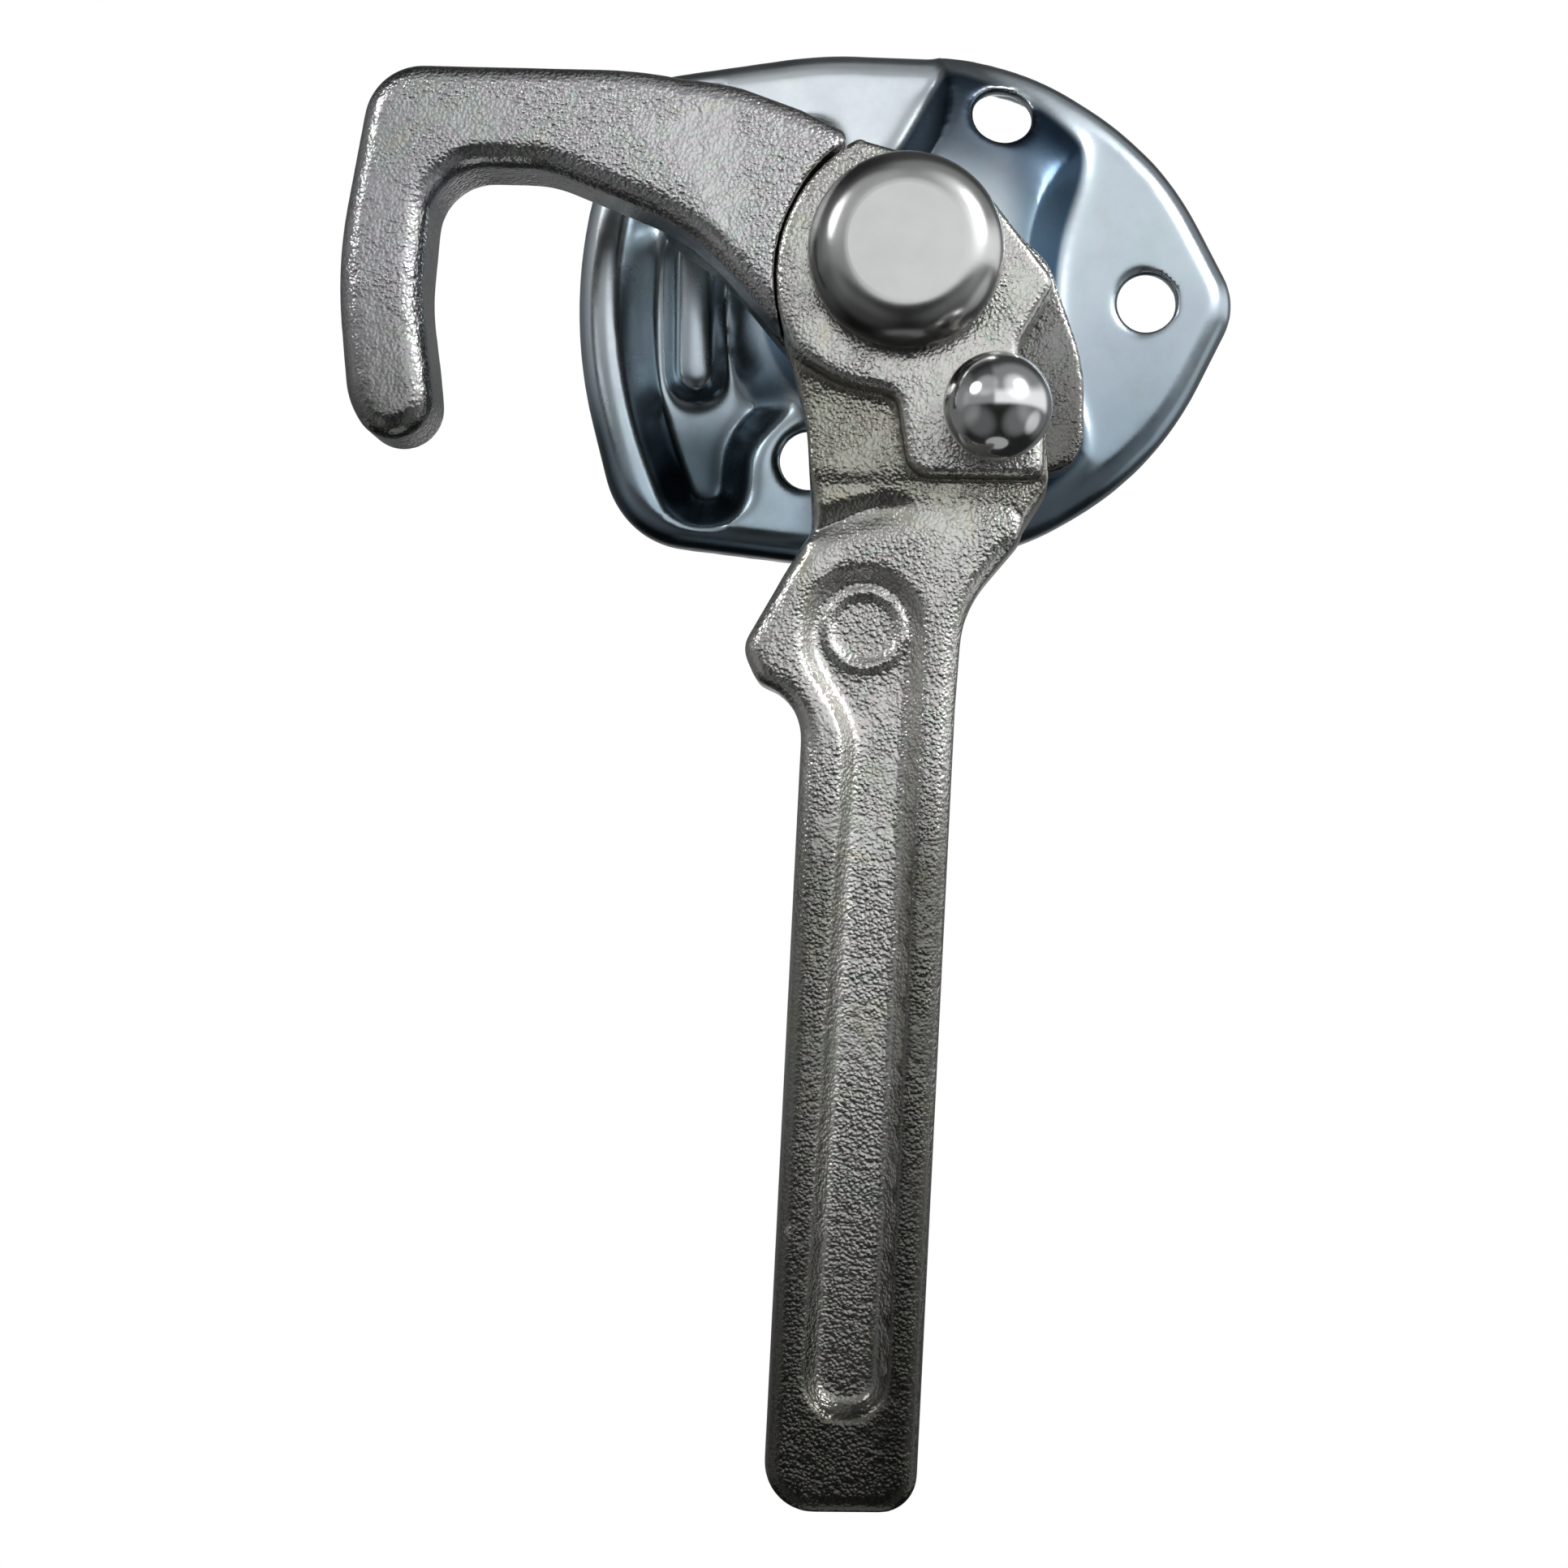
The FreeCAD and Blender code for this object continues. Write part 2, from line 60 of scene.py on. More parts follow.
def flow(piece, rounds, zone=None):
    """Lets the surface flow together, all of it or only in a zone of (x, z, front) ranges in mm."""
    step = piece.modifiers.new("Flow", "SMOOTH")
    step.factor = 0.5
    step.iterations = rounds
    if zone:
        (x_low, x_high), (z_low, z_high), (f_low, f_high) = zone
        weights = piece.vertex_groups.new(name="flow")
        for vertex in piece.data.vertices:
            x, y, z = vertex.co / MM
            weight = inside(x, x_low, x_high, 2.0) * inside(z, z_low, z_high, 2.0)
            weight *= inside(-y, f_low, f_high, 1.0)
            if weight > 0.0:
                weights.add([vertex.index], weight, "REPLACE")
        step.vertex_group = "flow"
    mesh_from(piece)
    piece.vertex_groups.clear()


def press(piece, start, end, width, depth, front):
    """Presses a soft groove into the front of a piece, along a line from start to end (x, z) in mm."""
    along = Vector(end) - Vector(start)
    for vertex in piece.data.vertices:
        x, y, z = vertex.co / MM
        if -y < front:
            continue
        place = Vector((x, z)) - Vector(start)
        share = min(max(place.dot(along) / along.length_squared, 0.0), 1.0)
        gap = (place - along * share).length
        if gap < width:
            vertex.co.y += depth * MM * (0.5 + 0.5 * math.cos(math.pi * gap / width))


def bridge(piece, sides, upper, lower, front):
    """Fills a valley across the front up to a line between two (z, level) ends in mm."""
    facing = [-vertex.normal.y for vertex in piece.data.vertices]
    for vertex, turned in zip(piece.data.vertices, facing):
        x, y, z = vertex.co / MM
        share = (upper[0] - z) / (upper[0] - lower[0])
        if -y < front or not 0.0 <= share <= 1.0:
            continue
        level = upper[1] + (lower[1] - upper[1]) * share
        weight = inside(x, *sides, 1.5) * inside(turned, 0.5, 1.0, 0.4)
        vertex.co.y -= max(0.0, level + y) * weight * MM


def widen(piece, middle, radius, reach, grow, front):
    """Moves the round side of a head outwards, so that the gap round it is a fine line."""
    for vertex in piece.data.vertices:
        x, y, z = vertex.co / MM
        out = Vector((x, z)) - Vector(middle)
        if -y > front and radius - reach < out.length < radius + reach and out.x < -9.0:
            share = 1.0 - abs(out.length - radius) / reach
            push = out.normalized() * grow * min(1.0, 2.0 * share)
            vertex.co += Vector((push.x, 0.0, push.y)) * MM


def lift_edge(piece, sides, fade, low, high, grow, front):
    """Lifts the upper edge of the arm where it runs into the round step, in mm."""
    for vertex in piece.data.vertices:
        x, y, z = vertex.co / MM
        if -y > front and z > low:
            vertex.co.z += grow * MM * inside(x, *sides, fade) * min(1.0, (z - low) / (high - low))


def true_ball(piece, middle, radius, front):
    """Puts every point of the ball in front of its neck exactly on the sphere, given in mm."""
    middle = Vector(middle)
    for vertex in piece.data.vertices:
        if -vertex.co.y > front * MM:
            vertex.co = (middle + (vertex.co / MM - middle).normalized() * radius) * MM


def settle(node, name, body, voxel, rounds, zones=(), grooves=(), bridges=()):
    """A copy of a CAD node whose steps and edges flow into each other, as forging or pressing does it.

    The voxel is the size of the copy's faces in mm, and rounds says how far the whole surface flows.
    Zones flow further, each by its own rounds, after the bridges are filled and the grooves pressed.
    """
    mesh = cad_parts[node].data.copy()
    piece = bpy.data.objects.new(name, mesh)
    bpy.context.scene.collection.objects.link(piece)
    piece.modifiers.new("Merge", "WELD").merge_threshold = 0.001 * MM
    grid = piece.modifiers.new("Grid", "REMESH")
    grid.mode = "VOXEL"
    grid.voxel_size = voxel * MM
    mesh_from(piece)
    flow(piece, rounds)
    for span in bridges:
        bridge(piece, *span)
    for groove in grooves:
        press(piece, *groove)
    for zone, turns in zones:
        flow(piece, turns, zone)
    mesh = piece.data
    mesh.polygons.foreach_set("use_smooth", [True] * len(mesh.polygons))
    mesh.materials.clear()
    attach(piece, body)
    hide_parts(node)
    return piece


# What flows further than the rest: ranges of x, z and front in mm, and rounds.
NECK_FOOT = (((-18.0, -2.0), (-40.0, -28.0), (32.0, 42.0)), 30)
UNDER_LUG = (((-2.0, 24.0), (-40.0, -31.5), (32.0, 42.0)), 40)
NECK_TOP = (((-18.0, -3.0), (-26.0, -9.0), (30.0, 42.0)), 20)
NUB = (((-30.0, -12.0), (-66.0, -44.0), (30.0, 42.0)), 16)
DRAWN_FACE = (((-44.0, 34.0), (-29.0, 29.0), (2.0, 14.0)), 28)
LIP_EDGE = (((-60.0, 60.0), (-50.0, 50.0), (-2.0, 1.6)), 12)

# The dip where the neck meets the grip, and the valley across the handle that is filled under it.
NECK_DIP = ((-13.0, -36.0), (-2.0, -33.2), 3.0, 1.0, 32.0)
NECK_VALLEY = ((-16.0, 26.0), (-29.2, 36.5), (-38.0, 36.6), 31.0)

FORGING_GRID = 0.42
PRESSING_GRID = 0.56
BALL_GRID = 0.22
PAD_MIDDLE, PAD_RADIUS = (3.6, -2.5), 20.9
BALL_MIDDLE, BALL_RADIUS = (11.8, -47.6, -21.4), 7.1

hook = settle("hook", "hook_forging", "hook", FORGING_GRID, 6)
lift_edge(hook, (-22.0, -14.0), 8.0, 8.0, 16.0, 1.0, 29.6)
handle = settle(
    "handle", "handle_forging", "handle", FORGING_GRID, 5,
    [NECK_FOOT, UNDER_LUG, NECK_TOP, NUB], [NECK_DIP], [NECK_VALLEY],
)
widen(handle, PAD_MIDDLE, PAD_RADIUS, 1.2, 0.2, 28.0)
plate = settle(
    "backing_plate", "plate_pressing", "plate", PRESSING_GRID, 6, [DRAWN_FACE, LIP_EDGE]
)
ball = settle("ball_pin", "ball_stud", "handle", BALL_GRID, 2)
true_ball(ball, BALL_MIDDLE, BALL_RADIUS, 42.5)


# Materials

GREY = (0.6, 0.6, 0.6, 1.0)


def group(name, inputs, outputs):
    """An empty shader node group with its named sockets."""
    tree = bpy.data.node_groups.new(name, "ShaderNodeTree")
    for kind, word, default in inputs:
        socket = tree.interface.new_socket(word, in_out="INPUT", socket_type="NodeSocket" + kind)
        if default is not None:
            socket.default_value = default
    for kind, word in outputs:
        tree.interface.new_socket(word, in_out="OUTPUT", socket_type="NodeSocket" + kind)
    return tree, tree.nodes.new("NodeGroupInput").outputs, tree.nodes.new("NodeGroupOutput").inputs


def calc(tree, operation, a, b=None):
    """One step of arithmetic between sockets or plain numbers."""
    node = tree.nodes.new("ShaderNodeMath")
    node.operation = operation
    for place, value in zip(node.inputs, (a, b)):
        if isinstance(value, (int, float)):
            place.default_value = value
        elif value is not None:
            tree.links.new(value, place)
    return node.outputs[0]


def noise(tree, vector, scale, detail=2.0, rough=0.5, distortion=0.0):
    """A cloudy pattern; its scale is in waves per metre."""
    node = tree.nodes.new("ShaderNodeTexNoise")
    node.inputs["Scale"].default_value = scale
    node.inputs["Detail"].default_value = detail
    node.inputs["Roughness"].default_value = rough
    node.inputs["Distortion"].default_value = distortion
    tree.links.new(vector, node.inputs["Vector"])
    return node.outputs["Fac"]


def spread(tree, value, low, high, to_low=0.0, to_high=1.0, smooth=False):
    """Takes a value from low..high to to_low..to_high, held at both ends."""
    node = tree.nodes.new("ShaderNodeMapRange")
    node.interpolation_type = "SMOOTHSTEP" if smooth else "LINEAR"
    node.inputs["From Min"].default_value = low
    node.inputs["From Max"].default_value = high
    node.inputs["To Min"].default_value = to_low
    node.inputs["To Max"].default_value = to_high
    tree.links.new(value, node.inputs["Value"])
    return node.outputs["Result"]


def tinted(tree, base, tint, amount, blend="MULTIPLY"):
    """The base colour with a tint laid over it, by an amount from 0 to 1."""
    mix = tree.nodes.new("ShaderNodeMix")
    mix.data_type = "RGBA"
    mix.blend_type = blend
    for place, value in ((mix.inputs["Factor"], amount), (mix.inputs[6], base), (mix.inputs[7], tint)):
        if isinstance(value, (int, float, tuple)):
            place.default_value = value
        else:
            tree.links.new(value, place)
    return mix.outputs[2]


def grain_group():
    """Height and pits of a shot-blasted forging: rounded grains about half a millimetre across."""
    inputs = [("Vector", "Vector", None)]
    tree, given, out = group("forging_grain", inputs, [("Float", "Height"), ("Float", "Pits")])
    place = given["Vector"]
    bend = tree.nodes.new("ShaderNodeTexNoise")
    bend.inputs["Scale"].default_value = 1400.0
    tree.links.new(place, bend.inputs["Vector"])
    shift = tree.nodes.new("ShaderNodeVectorMath")
    shift.operation = "MULTIPLY_ADD"
    shift.inputs[1].default_value = (0.0005, 0.0005, 0.0005)
    tree.links.new(bend.outputs["Color"], shift.inputs[0])
    tree.links.new(place, shift.inputs[2])
    cells = tree.nodes.new("ShaderNodeTexVoronoi")
    cells.feature = "SMOOTH_F1"
    cells.inputs["Scale"].default_value = 2050.0
    cells.inputs["Smoothness"].default_value = 0.5
    tree.links.new(shift.outputs["Vector"], cells.inputs["Vector"])
    crack = cells.outputs["Distance"]
    wave = noise(tree, place, 520.0, 3.0, 0.55)
    patches = spread(tree, noise(tree, place, 110.0, 2.0, 0.5), 0.35, 0.62, 0.35, 1.0, True)
    height = calc(tree, "MULTIPLY", calc(tree, "SUBTRACT", 1.0, crack), patches)
    height = calc(tree, "ADD", height, calc(tree, "MULTIPLY", wave, 1.1))
    tree.links.new(height, out["Height"])
    pits = calc(tree, "MULTIPLY", spread(tree, crack, 0.42, 0.80), patches)
    tree.links.new(pits, out["Pits"])
    return tree


def film_group():
    """The faint yellow, violet and green tints of a passivated zinc film."""
    inputs = [("Vector", "Vector", None), ("Color", "Metal", GREY), ("Float", "Amount", 0.3)]
    tree, given, out = group("zinc_film", inputs, [("Color", "Color")])
    drift = noise(tree, given["Vector"], 70.0, 5.0, 0.7, 1.5)
    ramp = tree.nodes.new("ShaderNodeValToRGB")
    stops = [
        (0.30, (0.98, 0.88, 0.66, 1.0)),
        (0.43, (0.94, 0.97, 1.00, 1.0)),
        (0.51, (1.00, 0.90, 0.98, 1.0)),
        (0.58, (0.88, 1.00, 0.95, 1.0)),
        (0.70, (1.00, 0.93, 0.78, 1.0)),
    ]
    ends = ramp.color_ramp.elements
    ends[0].position, ends[0].color = stops[0]
    ends[1].position, ends[1].color = stops[-1]
    for position, colour in stops[1:-1]:
        ends.new(position).color = colour
    tree.links.new(drift, ramp.inputs["Fac"])
    film = tinted(tree, given["Metal"], ramp.outputs["Color"], given["Amount"])
    tree.links.new(film, out["Color"])
    return tree


def plate_shade_group():
    """Painted shade: darkens the pressed walls and the sunk pocket of the plate, most at the pocket's
    lower end.
    """
    inputs = [("Vector", "Vector", None), ("Color", "Metal", GREY)]
    tree, given, out = group("plate_painted_shade", inputs, [("Color", "Color")])
    split = tree.nodes.new("ShaderNodeSeparateXYZ")
    tree.links.new(given["Vector"], split.inputs["Vector"])
    x, y, z = split.outputs
    facing = tree.nodes.new("ShaderNodeSeparateXYZ")
    tree.links.new(tree.nodes.new("ShaderNodeTexCoord").outputs["Normal"], facing.inputs["Vector"])
    wall = spread(tree, facing.outputs["Y"], -0.975, -0.82, smooth=True)
    raised = spread(tree, y, -0.0094, -0.0104, smooth=True)
    sunk = spread(tree, y, -0.0090, -0.0072, smooth=True)
    sunk = calc(tree, "MULTIPLY", sunk, spread(tree, x, -0.011, -0.017, smooth=True))
    walls = calc(tree, "MULTIPLY", wall, calc(tree, "ADD", raised, calc(tree, "MULTIPLY", sunk, 0.2)))
    # Painted shade: the sunk pocket a little darker, much darker towards its lower end, and the walls
    # dark blue.
    pocket_shaded = tinted(tree, given["Metal"], (0.90, 0.93, 0.95, 1.0), sunk)
    low = calc(tree, "MULTIPLY", sunk, spread(tree, z, -0.010, -0.021, smooth=True))
    pocket_shaded = tinted(tree, pocket_shaded, (0.20, 0.22, 0.23, 1.0), low)
    wall_shaded = tinted(tree, pocket_shaded, (0.28, 0.38, 0.46, 1.0), calc(tree, "MULTIPLY", walls, 0.9))
    tree.links.new(wall_shaded, out["Color"])
    return tree


def shade_zone_group():
    """Darkens a metal where it is past two soft ramps, each along an axis and between two distances;
    most of its uses are painted shade.
    """
    inputs = [
        ("Vector", "Vector", None),
        ("Color", "Metal", GREY),
        ("Color", "Tint", (0.4, 0.4, 0.4, 1.0)),
        ("Vector", "Axis", (0.0, 0.0, 1.0)),
        ("Float", "From", 0.0),
        ("Float", "To", 1.0),
        ("Vector", "Also", (0.0, 0.0, 0.0)),
        ("Float", "Start", -2.0),
        ("Float", "End", -1.0),
    ]
    tree, given, out = group("painted_shade_zone", inputs, [("Color", "Color")])
    ramps = []
    for axis, low, high in (("Axis", "From", "To"), ("Also", "Start", "End")):
        along = tree.nodes.new("ShaderNodeVectorMath")
        along.operation = "DOT_PRODUCT"
        tree.links.new(given["Vector"], along.inputs[0])
        tree.links.new(given[axis], along.inputs[1])
        fade = tree.nodes.new("ShaderNodeMapRange")
        fade.interpolation_type = "SMOOTHSTEP"
        tree.links.new(along.outputs["Value"], fade.inputs["Value"])
        tree.links.new(given[low], fade.inputs["From Min"])
        tree.links.new(given[high], fade.inputs["From Max"])
        ramps.append(fade.outputs["Result"])
    shaded = tinted(tree, given["Metal"], given["Tint"], calc(tree, "MULTIPLY", *ramps))
    tree.links.new(shaded, out["Color"])
    return tree


def edge_sheen_and_shade_group():
    """Lightens the outer edges, as wear and painted highlight, and darkens the inner corners, as grime
    and painted shade.
    """
    inputs = [("Vector", "Vector", None), ("Color", "Metal", GREY), ("Float", "Grime", 0.5)]
    tree, given, out = group("edge_wear_and_corner_shade", inputs, [("Color", "Color")])
    bend = tree.nodes.new("ShaderNodeNewGeometry").outputs["Pointiness"]
    patchy = noise(tree, given["Vector"], 260.0, 4.0, 0.7)
    inner = spread(tree, bend, 0.495, 0.43, smooth=True)
    inner = calc(tree, "MULTIPLY", inner, spread(tree, patchy, 0.25, 0.6, 0.5, 1.0))
    outer = spread(tree, bend, 0.510, 0.56, smooth=True)
    outer = calc(tree, "MULTIPLY", outer, spread(tree, patchy, 0.35, 0.65, 0.0, 1.0))
    corner_darkening = calc(tree, "MULTIPLY", inner, given["Grime"])
    # Painted shade and grime: the inner corners darker.
    dark = tinted(tree, given["Metal"], (0.20, 0.19, 0.15, 1.0), corner_darkening)
    # Painted highlight and wear: the outer edges lighter.
    rubbed_and_lit = tinted(tree, dark, (0.86, 0.84, 0.78, 1.0), calc(tree, "MULTIPLY", outer, 0.55), "MIX")
    tree.links.new(rubbed_and_lit, out["Color"])
    return tree


GRAIN = grain_group()
FILM = film_group()
EDGE_SHEEN_AND_SHADE = edge_sheen_and_shade_group()
PLATE_SHADE = plate_shade_group()
SHADE_ZONE = shade_zone_group()


class Metal:
    """A plated metal, built up in layers that each take over the colour of the last."""

    def __init__(self, name, colour, roughness, smear):
        self.material = bpy.data.materials.new(name)
        self.material.use_nodes = True
        self.tree = self.material.node_tree
        self.shader = self.tree.nodes["Principled BSDF"]
        self.shader.inputs["Metallic"].default_value = 1.0
        self.place = self.tree.nodes.new("ShaderNodeTexCoord").outputs["Object"]
        self.colour = (*colour, 1.0)
        cloud = noise(self.tree, self.place, 130.0, 6.0, 0.65)
        self.rough = spread(self.tree, cloud, 0.3, 0.7, roughness - smear, roughness + smear)

    def layer(self, kind, **values):
        node = self.tree.nodes.new("ShaderNodeGroup")
        node.node_tree = kind
        self.tree.links.new(self.place, node.inputs["Vector"])
        if "Metal" in node.inputs:
            if isinstance(self.colour, tuple):
                node.inputs["Metal"].default_value = self.colour
            else:
                self.tree.links.new(self.colour, node.inputs["Metal"])
        for word, value in values.items():
            node.inputs[word].default_value = value
        if "Color" in node.outputs:
            self.colour = node.outputs["Color"]
        return node

    def grainy(self, depth, pits):
        grain = self.layer(GRAIN)
        dark = calc(self.tree, "MULTIPLY", grain.outputs["Pits"], pits)
        self.colour = tinted(self.tree, self.colour, (0.30, 0.29, 0.28, 1.0), dark)
        self.relief(grain.outputs["Height"], depth)

    def relief(self, height, depth):
        bump = self.tree.nodes.new("ShaderNodeBump")
        bump.inputs["Strength"].default_value = 1.0
        bump.inputs["Distance"].default_value = depth * MM
        self.tree.links.new(height, bump.inputs["Height"])
        self.tree.links.new(bump.outputs["Normal"], self.shader.inputs["Normal"])

    def done(self):
        self.tree.links.new(self.rough, self.shader.inputs["Roughness"])
        if isinstance(self.colour, tuple):
            self.shader.inputs["Base Color"].default_value = self.colour
        else:
            self.tree.links.new(self.colour, self.shader.inputs["Base Color"])
        return self.material


def forged(name, colour, film, *zones):
    """Bright zinc on a granular forging."""
    metal = Metal(name, colour, 0.23, 0.04)
    metal.layer(FILM, Amount=film)
    # The zones darken the metal in places, most of them as painted shade.
    for zone in zones:
        metal.layer(SHADE_ZONE, **zone)
    metal.layer(EDGE_SHEEN_AND_SHADE, Grime=0.55)
    metal.grainy(0.115, 0.40)
    return metal.done()


def plated(name, colour, roughness, smear, film, corner_shade_and_grime, depth, *zones, painted_wall_shade=False):
    """Zinc or bare steel on a smooth piece; depth is the height of its faint waves in mm."""
    metal = Metal(name, colour, roughness, smear)
    metal.layer(FILM, Amount=film)
    # The zones lay painted shade on the metal.
    for zone in zones:
        metal.layer(SHADE_ZONE, **zone)
    # Painted shade on the plate's pressed walls and sunk pocket.
    if painted_wall_shade:
        metal.layer(PLATE_SHADE)
    metal.layer(EDGE_SHEEN_AND_SHADE, Grime=corner_shade_and_grime)
    metal.relief(noise(metal.tree, metal.place, 300.0, 3.0, 0.6), depth)
    return metal.done()


# Where a metal is painted darker: along an axis from one distance in metres to another, and along a
# second one. All of these are painted shade, except the grip's rims, which are only darker.
UP = (0.0, 0.0, 1.0)
FORWARD = (0.0, -1.0, 0.0)
LEFT = (-1.0, 0.0, 0.0)
RIGHT = (1.0, 0.0, 0.0)
DOWN = (0.0, 0.0, -1.0)
# Painted shade on the hook: its hub darker where it lies deep beside the handle, its tip darker towards
# the bottom, its left end darker.
HOOK_HUB = {"Axis": FORWARD, "From": 0.0285, "To": 0.0250, "Tint": (0.30, 0.30, 0.29, 1.0)}
HOOK_TIP = {"Axis": UP, "From": 0.002, "To": -0.026, "Tint": (0.50, 0.50, 0.47, 1.0)}
HOOK_LEFT = {"Axis": LEFT, "From": 0.035, "To": 0.075, "Tint": (0.76, 0.76, 0.77, 1.0)}
# Painted shade on the handle: its neck below the pad darker, and its grip darker towards the lower end.
NECK = {
    "Axis": FORWARD, "From": 0.0385, "To": 0.0373, "Also": UP, "Start": -0.036, "End": -0.030,
    "Tint": (0.66, 0.655, 0.60, 1.0),
}
GRIP_END = {"Axis": UP, "From": -0.085, "To": -0.160, "Tint": (0.38, 0.38, 0.36, 1.0)}
# Darker on the front rims of the lower grip.
GRIP_RIM = {
    "Axis": FORWARD, "From": 0.0352, "To": 0.0362, "Also": UP, "Start": -0.066, "End": -0.085,
    "Tint": (0.50, 0.50, 0.48, 1.0),
}
# Painted shade along the right side of the lower grip.
GRIP_RIGHT = {
    "Axis": (1.0, 0.0, -0.036), "From": 0.0010, "To": 0.0040, "Also": DOWN, "Start": 0.058, "End": 0.080,
    "Tint": (0.70, 0.70, 0.69, 1.0),
}
# Painted shade on the plate: darker towards the right, round the raised top of the band, on the band's
# right side, and towards the bottom.
PLATE_RIGHT = {"Axis": LEFT, "From": 0.020, "To": -0.035, "Tint": (0.66, 0.70, 0.73, 1.0)}
PLATE_CROWN = {
    "Axis": UP, "From": 0.008, "To": 0.024, "Also": FORWARD, "Start": 0.0092, "End": 0.0106,
    "Tint": (0.27, 0.31, 0.36, 1.0),
}
PLATE_BAND = {
    "Axis": RIGHT, "From": 0.012, "To": 0.018, "Also": FORWARD, "Start": 0.0097, "End": 0.0106,
    "Tint": (0.36, 0.44, 0.52, 1.0),
}
PLATE_FOOT = {"Axis": UP, "From": 0.014, "To": -0.036, "Tint": (0.42, 0.50, 0.56, 1.0)}
HOOK_ZINC = forged("hook_zinc", (0.70, 0.70, 0.69), 0.55, HOOK_HUB, HOOK_TIP, HOOK_LEFT)
HANDLE_ZINC = forged("handle_zinc", (0.66, 0.655, 0.61), 0.45, NECK, GRIP_END, GRIP_RIM, GRIP_RIGHT)
PLATE_ZINC = plated(
    "plate_zinc", (0.84, 0.90, 0.93), 0.25, 0.06, 0.25, 0.6, 0.012,
    PLATE_FOOT, PLATE_RIGHT, PLATE_CROWN, PLATE_BAND, painted_wall_shade=True,
)
# Painted shade on the pivot pin's head: its side below the flat top, its left shoulder and its lower
# shoulder darker.
PIN_SIDE = {"Axis": FORWARD, "From": 0.0480, "To": 0.0440, "Tint": (0.66, 0.66, 0.67, 1.0)}
PIN_LEFT = {
    "Axis": LEFT, "From": 0.003, "To": 0.011, "Also": FORWARD, "Start": 0.0489, "End": 0.0480,
    "Tint": (0.62, 0.62, 0.62, 1.0),
}
PIN_LOW = {
    "Axis": DOWN, "From": 0.002, "To": 0.011, "Also": FORWARD, "Start": 0.0489, "End": 0.0480,
    "Tint": (0.45, 0.45, 0.44, 1.0),
}
PIN_STEEL = plated(
    "pin_steel", (0.61, 0.61, 0.60), 0.22, 0.04, 0.15, 0.3, 0.004, PIN_SIDE, PIN_LEFT, PIN_LOW
)
WASHER_STEEL = plated("washer_steel", (0.50, 0.50, 0.49), 0.34, 0.08, 0.2, 0.3, 0.01)
BALL_STEEL = plated("ball_steel", (0.72, 0.72, 0.72), 0.13, 0.04, 0.05, 0.0, 0.002)


def coat(piece, material):
    """Gives a piece its one material."""
    piece.data.materials.clear()
    piece.data.materials.append(material)


coat(hook, HOOK_ZINC)
coat(handle, HANDLE_ZINC)
coat(plate, PLATE_ZINC)
coat(ball, BALL_STEEL)
for node, material in (
    ("pivot_pin", PIN_STEEL),
    ("seat_washer", WASHER_STEEL),
    ("rear_washer", WASHER_STEEL),
):
    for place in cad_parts[node].material_slots:
        place.material = material


# Stage, light and camera

def stage_floor():
    """A small round floor far below the latch."""
    reach, level, count = 0.18, -0.60, 96
    turns = [2 * math.pi * n / count for n in range(count)]
    ring = [(reach * math.cos(turn), reach * math.sin(turn), level) for turn in turns]
    mesh = bpy.data.meshes.new("floor")
    mesh.from_pydata(ring, [], [list(range(count))])
    floor = bpy.data.objects.new("floor", mesh)
    bpy.context.scene.collection.objects.link(floor)
    paint = bpy.data.materials.new("floor_paint")
    paint.use_nodes = True
    shader = paint.node_tree.nodes["Principled BSDF"]
    shader.inputs["Base Color"].default_value = (0.85, 0.85, 0.85, 1.0)
    shader.inputs["Roughness"].default_value = 0.9
    mesh.materials.append(paint)


SCREEN_LEVEL = 1.08
WALL_LEVEL = 0.17
ROOM_LEVEL = 0.02

# Soft windows round the latch that its bright metal shows: direction, width in degrees, level.
WINDOWS = (
    ((-0.40, -0.72, 0.58), 28.0, 0.36),
    ((0.58, -0.62, 0.52), 32.0, 0.60),
    ((0.90, 0.05, -0.42), 22.0, 0.55),
    ((-0.97, -0.09, 0.22), 24.0, 0.10),
    ((-0.62, -0.52, -0.60), 40.0, 0.11),
    ((0.65, -0.52, -0.56), 40.0, 0.15),
)


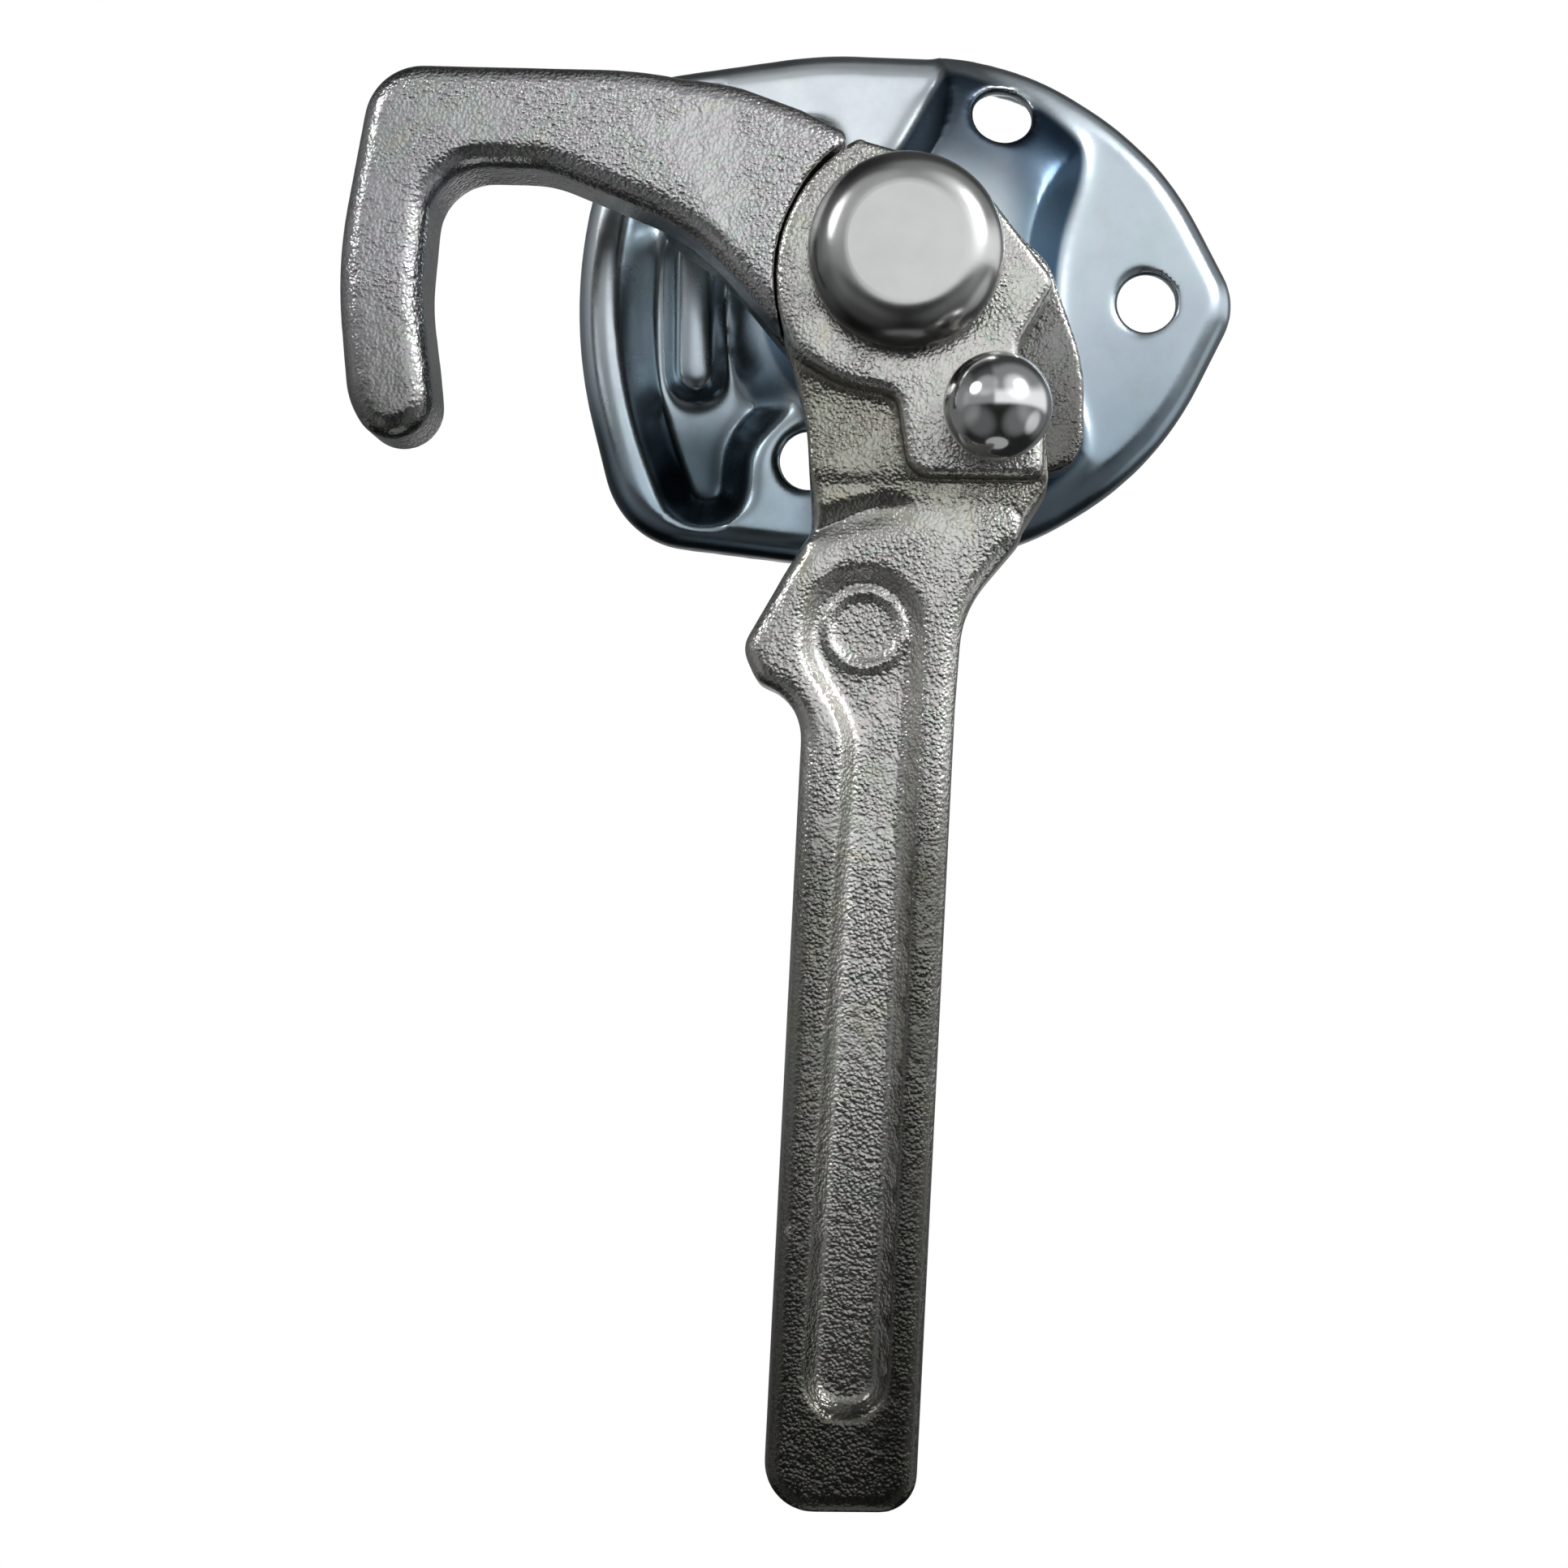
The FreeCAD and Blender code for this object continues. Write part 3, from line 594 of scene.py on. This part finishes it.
def studio_world():
    """The light round the latch, by direction, and the white background that the camera sees."""
    world = bpy.data.worlds.new("studio")
    bpy.context.scene.world = world
    world.use_nodes = True
    tree = world.node_tree
    tree.nodes.clear()
    where = tree.nodes.new("ShaderNodeTexCoord").outputs["Generated"]
    split = tree.nodes.new("ShaderNodeSeparateXYZ")
    tree.links.new(where, split.inputs["Vector"])
    x, y, z = split.outputs

    # A wide soft light in front of the latch, brightest just above eye level and dark overhead.
    screen = spread(tree, z, -0.13, 0.03, smooth=True)
    screen = calc(tree, "MULTIPLY", screen, spread(tree, z, 0.27, 0.54, 1.0, 0.24, True))
    side = calc(tree, "SUBTRACT", y, calc(tree, "MULTIPLY", calc(tree, "MAXIMUM", x, 0.0), 0.8))
    screen = calc(tree, "MULTIPLY", screen, spread(tree, side, -0.35, 0.05, 1.0, 0.15, True))
    screen = calc(tree, "MULTIPLY", screen, spread(tree, x, -0.22, -0.06, 0.28, 1.0, True))
    level = calc(tree, "ADD", calc(tree, "MULTIPLY", screen, SCREEN_LEVEL), ROOM_LEVEL)

    # Paler walls far to the sides and behind, for the views from there.
    flank = spread(tree, calc(tree, "ABSOLUTE", x), 0.50, 0.80, smooth=True)
    flank = calc(tree, "MULTIPLY", flank, spread(tree, z, -0.75, -0.35, smooth=True))
    rear = spread(tree, y, 0.55, 0.85, smooth=True)
    rear = calc(tree, "MULTIPLY", rear, spread(tree, z, -0.6, -0.2, smooth=True))
    walls = calc(tree, "MULTIPLY", calc(tree, "MAXIMUM", flank, rear), WALL_LEVEL)
    level = calc(tree, "MAXIMUM", level, walls)
    for direction, width, strength in WINDOWS:
        facing = tree.nodes.new("ShaderNodeVectorMath")
        facing.operation = "DOT_PRODUCT"
        tree.links.new(where, facing.inputs[0])
        facing.inputs[1].default_value = Vector(direction).normalized()
        edge, core = math.cos(math.radians(width)), math.cos(math.radians(width * 0.4))
        pane = spread(tree, facing.outputs["Value"], edge, core, 0.0, strength, True)
        level = calc(tree, "ADD", level, pane)

    light = tree.nodes.new("ShaderNodeBackground")
    light.inputs["Color"].default_value = (0.97, 0.985, 1.0, 1.0)
    tree.links.new(level, light.inputs["Strength"])
    white = tree.nodes.new("ShaderNodeBackground")
    white.inputs["Color"].default_value = (1.0, 1.0, 1.0, 1.0)
    white.inputs["Strength"].default_value = 1.0

    # The white background is what the camera sees, and behind the latch its metal shows it too.
    path = tree.nodes.new("ShaderNodeLightPath")
    behind = spread(tree, y, 0.985, 0.999, smooth=True)
    mirrored = calc(tree, "MAXIMUM", path.outputs["Is Glossy Ray"], path.outputs["Is Transmission Ray"])
    mirrored = calc(tree, "MULTIPLY", mirrored, behind)
    shown = calc(tree, "MAXIMUM", path.outputs["Is Camera Ray"], mirrored)
    mix = tree.nodes.new("ShaderNodeMixShader")
    tree.links.new(shown, mix.inputs[0])
    tree.links.new(light.outputs["Background"], mix.inputs[1])
    tree.links.new(white.outputs["Background"], mix.inputs[2])
    out = tree.nodes.new("ShaderNodeOutputWorld")
    tree.links.new(mix.outputs["Shader"], out.inputs["Surface"])


def lamp(name, place, aim, size, watts):
    """A round soft lamp, aimed at a point."""
    data = bpy.data.lights.new(name, "AREA")
    data.energy = watts
    data.shape = "DISK"
    data.size = size
    thing = bpy.data.objects.new(name, data)
    thing.location = place
    thing.rotation_euler = (Vector(aim) - Vector(place)).to_track_quat("-Z", "Y").to_euler()
    bpy.context.scene.collection.objects.link(thing)


def photo_camera():
    """The camera at the photograph's viewing angle."""
    data = bpy.data.cameras.new("photo_camera")
    data.sensor_width = 36.0
    data.lens = 64.1
    camera = bpy.data.objects.new("photo_camera", data)
    place = Vector((-2.5, -409.0, -82.4)) * MM
    aim = Vector((-17.4, -9.0, -69.2)) * MM
    camera.location = place
    camera.rotation_euler = (aim - place).to_track_quat("-Z", "Y").to_euler()
    bpy.context.scene.collection.objects.link(camera)
    bpy.context.scene.camera = camera


stage_floor()
studio_world()
middle = (0.0, 0.0, -0.06)
lamp("key", (0.60, -0.50, 0.42), middle, 0.36, 3.0)
lamp("fill", (-0.60, -0.50, 0.40), middle, 0.36, 0.9)
photo_camera()
bpy.context.scene.view_settings.view_transform = "Standard"
